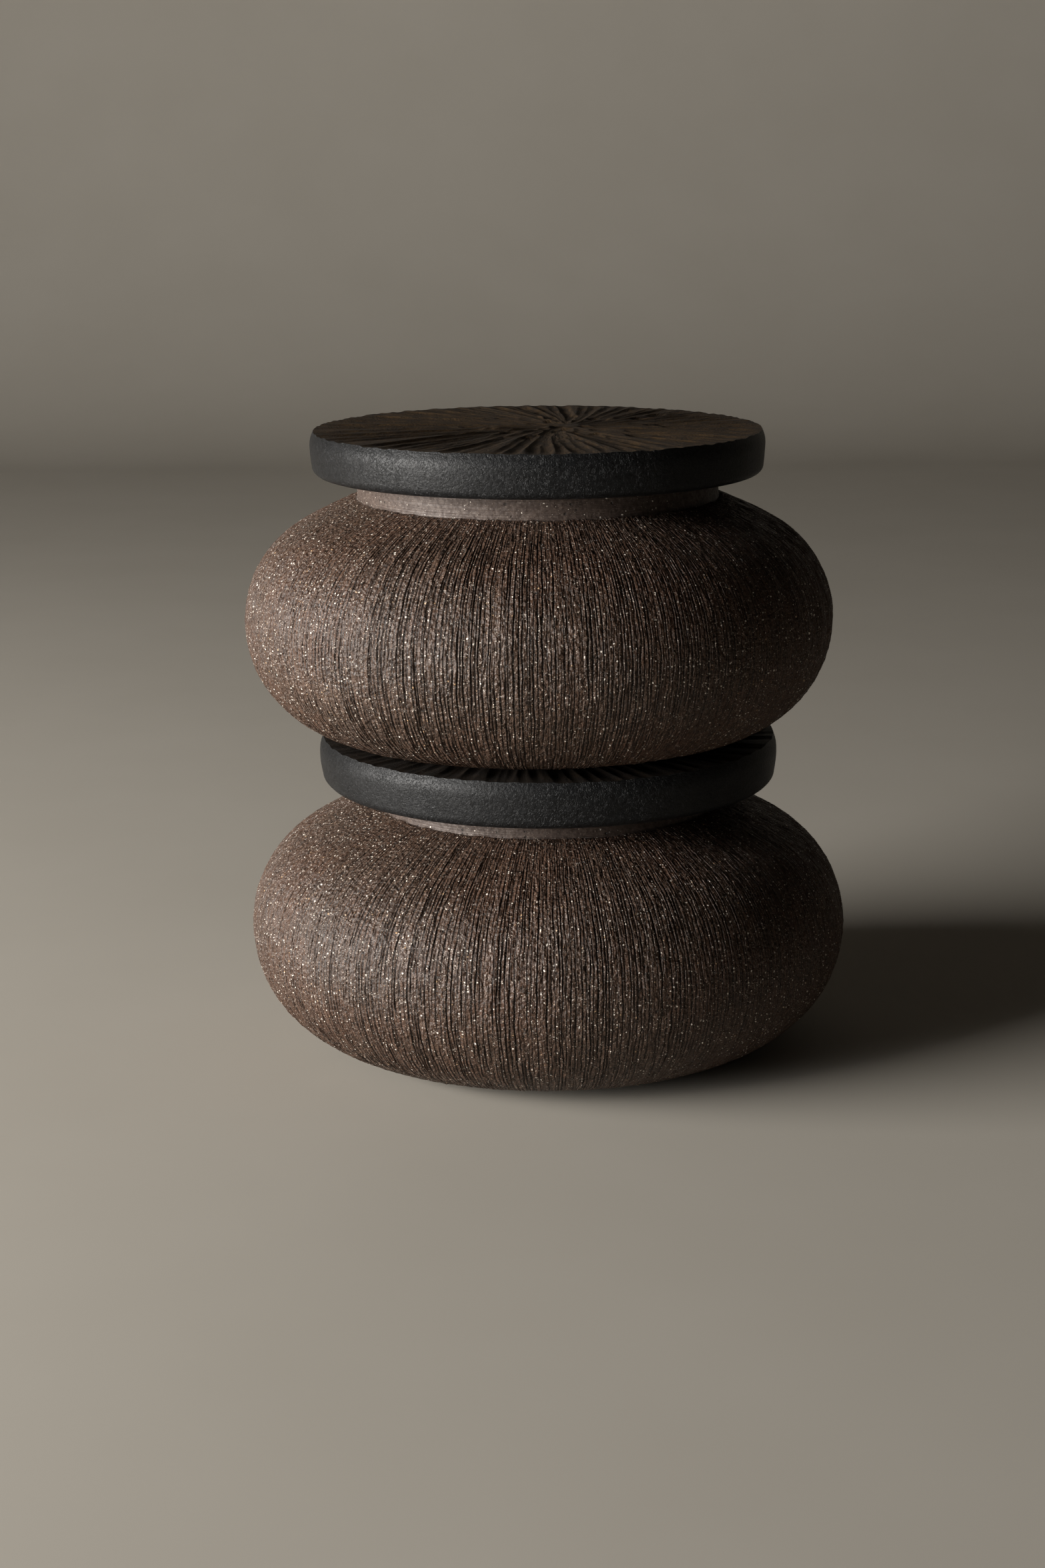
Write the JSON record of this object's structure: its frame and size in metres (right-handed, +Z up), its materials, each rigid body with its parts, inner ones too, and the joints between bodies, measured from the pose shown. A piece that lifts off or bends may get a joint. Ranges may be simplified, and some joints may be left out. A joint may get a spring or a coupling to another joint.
{
  "type": "go stone bowl",
  "caption": "Squat round stoneware bowls for go stones, stacked one on the other: combed body, smooth collar and a thick carved disc lid that lifts off.",
  "frame": {"origin": "centre of the lower bowl's foot ring, on the surface that it stands on", "axes": "+Z up along the axis of the lower bowl, +X to the right and +Y away when seen from the front"},
  "size_m": [0.165, 0.165, 0.1698],
  "materials": {
    "combed_stoneware": "unglazed, combed with fine upright grooves, pale speckles, soft sheen",
    "carved_black_stoneware": "black leathery side, dark brown top carved with radiating gouges"
  },
  "bodies": {
    "lower_bowl": {"lower_bowl": "combed_stoneware"},
    "lower_lid": {"lower_lid": "carved_black_stoneware"},
    "upper_bowl": {"upper_bowl": "combed_stoneware"},
    "upper_lid": {"upper_lid": "carved_black_stoneware"}
  },
  "joints": [
    {"name": "lower_lid_lift", "type": "slide", "parent": "lower_bowl", "child": "lower_lid", "axis": [0, 0, 1], "range_m": [0, 0.08]},
    {"name": "upper_bowl_lift", "type": "slide", "parent": "lower_lid", "child": "upper_bowl", "axis": [0, 0, 1], "range_m": [0, 0.08]},
    {"name": "upper_lid_lift", "type": "slide", "parent": "upper_bowl", "child": "upper_lid", "axis": [0, 0, 1], "range_m": [0, 0.08]}
  ]
}
